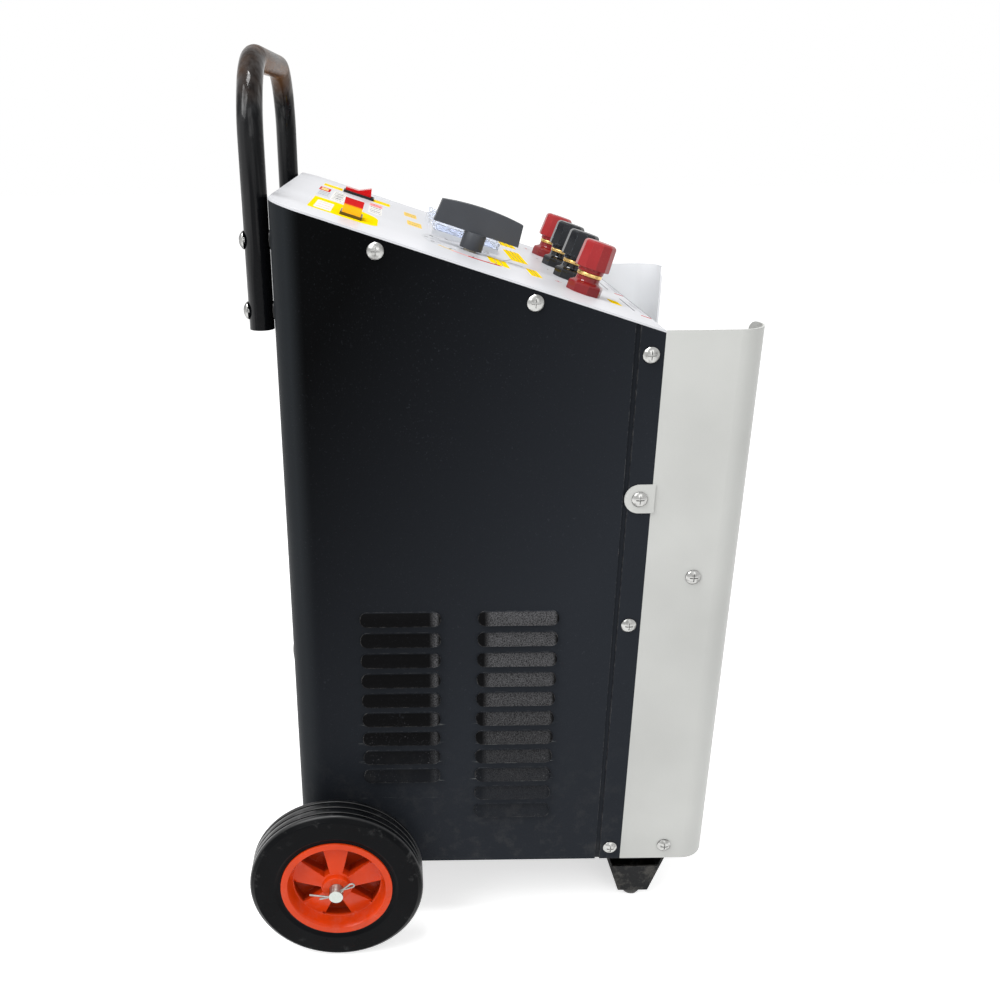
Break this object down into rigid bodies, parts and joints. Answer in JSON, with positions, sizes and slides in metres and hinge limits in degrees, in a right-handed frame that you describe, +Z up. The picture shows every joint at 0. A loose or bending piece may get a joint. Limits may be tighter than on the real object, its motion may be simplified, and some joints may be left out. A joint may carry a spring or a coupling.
{
  "type": "wheeled battery charger",
  "caption": "Wheeled garage battery charger: sheet-steel cabinet with sloping control panel, screw terminals, cable tray in front, tube push handle and spoked wheels.",
  "frame": {"origin": "on the ground, under the middle of the whole charger's box", "axes": "+Z up, -Y towards the cable tray and the user, +X to the right of someone who looks at the tray"},
  "size_m": [0.4644, 0.408, 0.7425],
  "materials": {
    "cabinet_black": "satin black powder coat",
    "panel_white": "satin white powder coat",
    "galvanised": "galvanised sheet",
    "handle_black": "gloss black enamel",
    "zinc": "bright zinc plate",
    "plastic_black": "fine moulded texture",
    "hub_orange": "moulded, semi-gloss",
    "tyre": "dusty rubber",
    "rubber_black": "matt rubber",
    "dial_white": "matt white",
    "switch_cream": "moulded phenolic",
    "rocker_red": "moulded, glossy",
    "meter_grey": "moulded",
    "meter_clear": "clear moulded cover",
    "terminal_red": "moulded, semi-gloss",
    "terminal_black": "moulded, semi-gloss",
    "brass": "turned brass",
    "core_iron": "varnished laminations",
    "copper": "enamelled copper winding, as solid metal",
    "plate_aluminium": "mill finish",
    "gland_black": "moulded nylon",
    "lead_red": "insulated lead"
  },
  "bodies": {
    "cabinet": {"rear_shell": "cabinet_black", "front_frame": "cabinet_black", "base_pan": "galvanised", "corner_posts": "galvanised", "control_panel": "panel_white", "tray_wing_left": "panel_white", "tray_wing_right": "panel_white", "tray_floor": "panel_white", "tray_brace": "panel_white", "handle": "handle_black", "handle_spacers": "plastic_black", "handle_screws": "zinc", "handle_nuts": "zinc", "axle": "zinc", "axle_brackets": "galvanised", "axle_spacers": "zinc", "axle_washers": "zinc", "split_pins": "zinc", "front_foot": "handle_black", "foot_pads": "rubber_black", "foot_bolts": "zinc", "cabinet_screws": "zinc", "tray_screws": "zinc", "selector_switch": "switch_cream", "rocker_bezel_left": "plastic_black", "rocker_bezel_right": "plastic_black", "meter_cases": "meter_grey", "meter_covers": "meter_clear", "meter_dials": "dial_white", "terminal_bases_red": "terminal_red", "terminal_bases_black": "terminal_black", "terminal_studs": "brass", "transformer_core": "core_iron", "transformer_windings": "copper", "transformer_frame": "galvanised", "transformer_bolts": "zinc", "rectifier_plate": "plate_aluminium", "rectifier_diodes": "zinc", "mains_gland": "gland_black", "wiring": "lead_red"},
    "wheel_left": {"wheel_hub_left": "hub_orange", "tyre_left": "tyre"},
    "wheel_right": {"wheel_hub_right": "hub_orange", "tyre_right": "tyre"},
    "selector": {"selector_knob": "plastic_black", "knob_insert": "dial_white", "selector_shaft": "zinc"},
    "rocker_left": {"rocker_left": "rocker_red"},
    "rocker_right": {"rocker_right": "rocker_red"},
    "ammeter_needle": {"ammeter_needle": "plastic_black"},
    "voltmeter_needle": {"voltmeter_needle": "plastic_black"},
    "terminal_washer_1": {"terminal_washer_1": "brass"},
    "terminal_cap_1": {"terminal_cap_1": "terminal_red"},
    "terminal_washer_2": {"terminal_washer_2": "brass"},
    "terminal_cap_2": {"terminal_cap_2": "terminal_black"},
    "terminal_washer_3": {"terminal_washer_3": "brass"},
    "terminal_cap_3": {"terminal_cap_3": "terminal_black"},
    "terminal_washer_4": {"terminal_washer_4": "brass"},
    "terminal_cap_4": {"terminal_cap_4": "terminal_red"}
  },
  "joints": [
    {"name": "wheel_left_spin", "type": "hinge", "parent": "cabinet", "child": "wheel_left", "pos_m": [-0.208, 0.129, 0.075], "axis": [1, 0, 0], "continuous": true},
    {"name": "wheel_right_spin", "type": "hinge", "parent": "cabinet", "child": "wheel_right", "pos_m": [0.208, 0.129, 0.075], "axis": [1, 0, 0], "continuous": true},
    {"name": "selector_turn", "type": "hinge", "parent": "cabinet", "child": "selector", "pos_m": [-0.071, 0.0063, 0.60444], "axis": [0, -0.3133, 0.9497], "range_deg": [-120, 120]},
    {"name": "rocker_left_tip", "type": "hinge", "parent": "cabinet", "child": "rocker_left", "pos_m": [-0.0995, 0.10533, 0.62026], "axis": [0, 0.9497, 0.3133], "range_deg": [-24, 0]},
    {"name": "rocker_right_tip", "type": "hinge", "parent": "cabinet", "child": "rocker_right", "pos_m": [0.0995, 0.10533, 0.62026], "axis": [-1, 0, 0], "range_deg": [-24, 0]},
    {"name": "ammeter_swing", "type": "hinge", "parent": "cabinet", "child": "ammeter_needle", "pos_m": [0, -0.00512, 0.59119], "axis": [0, -0.3133, 0.9497], "range_deg": [-90, 0], "stiffness_Nm_per_rad": 0.0001},
    {"name": "voltmeter_swing", "type": "hinge", "parent": "cabinet", "child": "voltmeter_needle", "pos_m": [0.092, -0.00512, 0.59119], "axis": [0, -0.3133, 0.9497], "range_deg": [-90, 0], "stiffness_Nm_per_rad": 0.0001},
    {"name": "post_1_lift", "type": "slide", "parent": "cabinet", "child": "terminal_washer_1", "axis": [0, -0.3133, 0.9497], "range_m": [0, 0.0025]},
    {"name": "post_1_turn", "type": "hinge", "parent": "terminal_washer_1", "child": "terminal_cap_1", "pos_m": [-0.105, -0.08372, 0.58527], "axis": [0, -0.3133, 0.9497], "range_deg": [0, 760]},
    {"name": "post_2_lift", "type": "slide", "parent": "cabinet", "child": "terminal_washer_2", "axis": [0, -0.3133, 0.9497], "range_m": [0, 0.0025]},
    {"name": "post_2_turn", "type": "hinge", "parent": "terminal_washer_2", "child": "terminal_cap_2", "pos_m": [-0.035, -0.08372, 0.58527], "axis": [0, -0.3133, 0.9497], "range_deg": [0, 760]},
    {"name": "post_3_lift", "type": "slide", "parent": "cabinet", "child": "terminal_washer_3", "axis": [0, -0.3133, 0.9497], "range_m": [0, 0.0025]},
    {"name": "post_3_turn", "type": "hinge", "parent": "terminal_washer_3", "child": "terminal_cap_3", "pos_m": [0.035, -0.08372, 0.58527], "axis": [0, -0.3133, 0.9497], "range_deg": [0, 760]},
    {"name": "post_4_lift", "type": "slide", "parent": "cabinet", "child": "terminal_washer_4", "axis": [0, -0.3133, 0.9497], "range_m": [0, 0.0025]},
    {"name": "post_4_turn", "type": "hinge", "parent": "terminal_washer_4", "child": "terminal_cap_4", "pos_m": [0.105, -0.08372, 0.58527], "axis": [0, -0.3133, 0.9497], "range_deg": [0, 760]}
  ],
  "couplings": [
    {"joint": "post_1_turn", "follows": "post_1_lift", "rad_per_m": 5026.5},
    {"joint": "post_2_turn", "follows": "post_2_lift", "rad_per_m": 5026.5},
    {"joint": "post_3_turn", "follows": "post_3_lift", "rad_per_m": 5026.5},
    {"joint": "post_4_turn", "follows": "post_4_lift", "rad_per_m": 5026.5}
  ]
}
